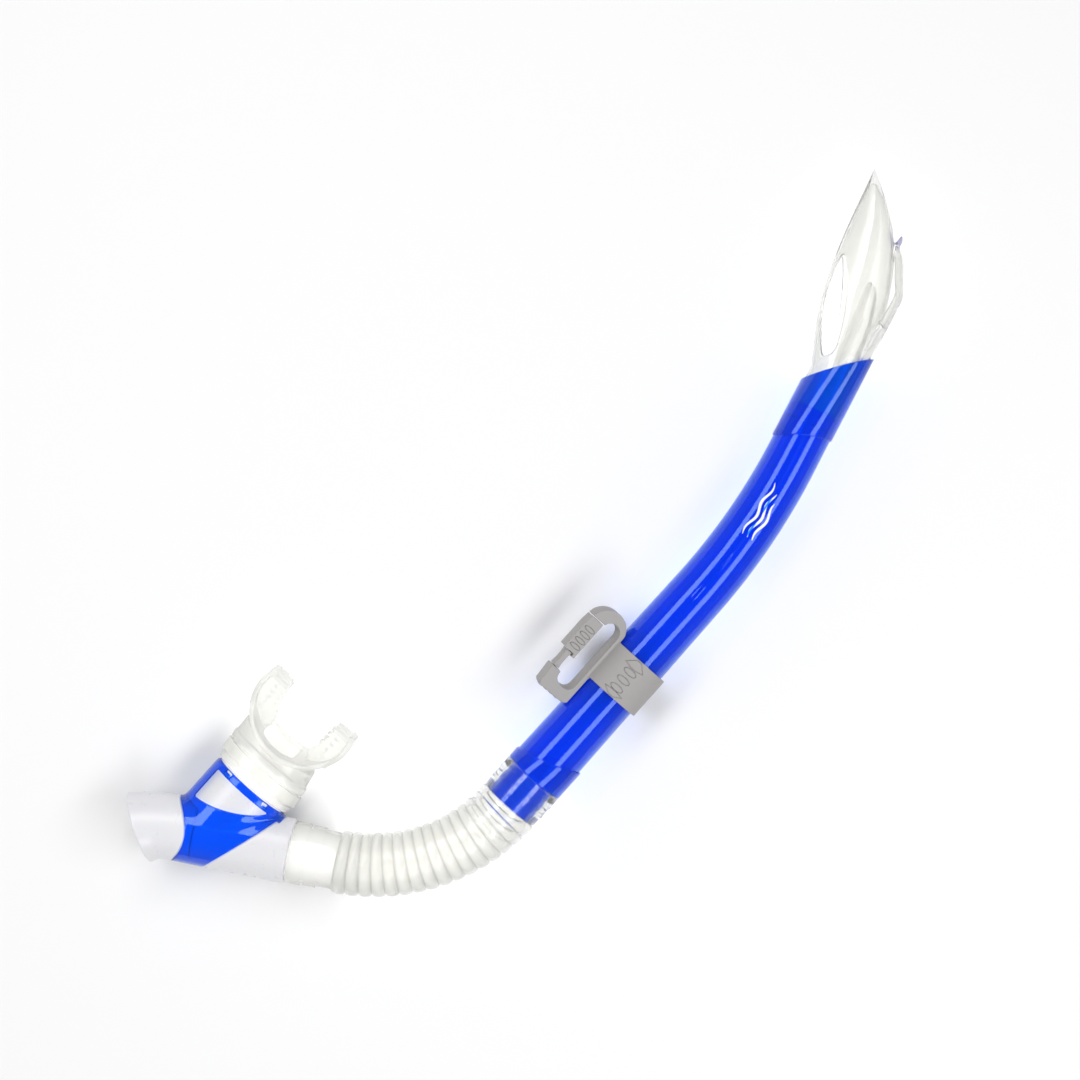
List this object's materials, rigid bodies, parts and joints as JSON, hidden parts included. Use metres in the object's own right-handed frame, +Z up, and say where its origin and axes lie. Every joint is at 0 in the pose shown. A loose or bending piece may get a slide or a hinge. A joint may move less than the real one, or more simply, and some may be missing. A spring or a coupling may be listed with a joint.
{
  "type": "snorkel tube",
  "caption": "Snorkel with a gently bent breathing tube, open splash guard, corrugated hose, purge chamber, soft mouthpiece and a sliding mask-strap clip.",
  "frame": {"origin": "middle of the whole snorkel's footprint, on the surface that it lies on", "axes": "+X along the straight tube towards the splash guard's tip, +Y towards the mouthpiece's side of the tube, +Z up, square to the plane of the hose's bend"},
  "size_m": [0.4304, 0.1406, 0.03],
  "materials": {
    "blue_shell": "see-through tinted, glossy",
    "clear_guard": "clear, glossy",
    "clear_silicone": "translucent, satin",
    "white_shell": "opaque white, satin gloss",
    "clip_plastic": "moulded, satin, warm grey"
  },
  "bodies": {
    "tube": {"main_tube": "blue_shell", "top_collar": "blue_shell", "splash_hood": "clear_guard", "splash_deflector": "clear_guard", "lower_coupling": "blue_shell"},
    "hose": {"corrugated_hose": "clear_silicone"},
    "mouth_unit": {"chamber_body": "white_shell", "shroud_frame": "blue_shell", "exhaust_bell": "white_shell", "valve_seat": "white_shell", "mouthpiece": "clear_silicone", "mouthpiece_clamp": "clear_silicone"},
    "diaphragm": {"purge_diaphragm": "clear_silicone"},
    "clip": {"clip_body": "clip_plastic"},
    "gate": {"clip_gate": "clip_plastic", "gate_web": "clip_plastic"}
  },
  "joints": [
    {"name": "hose_bend", "type": "hinge", "parent": "tube", "child": "hose", "pos_m": [-0.13126, -0.04221, 0.015], "axis": [0, 0, 1], "range_deg": [-25, 40], "stiffness_Nm_per_rad": 0.35, "deforming": ["corrugated_hose"]},
    {"name": "cuff_swivel", "type": "hinge", "parent": "hose", "child": "mouth_unit", "pos_m": [-0.17206, 0.00148, 0.015], "axis": [-0.5, 0.866, 0], "range_deg": [-60, 60]},
    {"name": "purge_lift", "type": "slide", "parent": "mouth_unit", "child": "diaphragm", "axis": [-0.5, 0.866, 0], "range_m": [0, 0.002], "stiffness_N_per_m": 50},
    {"name": "clip_slide", "type": "slide", "parent": "tube", "child": "clip", "axis": [1, 0, 0], "range_m": [-0.024, 0.033]},
    {"name": "gate_flex", "type": "hinge", "parent": "clip", "child": "gate", "pos_m": [-0.03131, -0.02976, 0.02244], "axis": [0, -0.2756, 0.9613], "range_deg": [-18, 0], "stiffness_Nm_per_rad": 0.12, "deforming": ["gate_web"]}
  ]
}
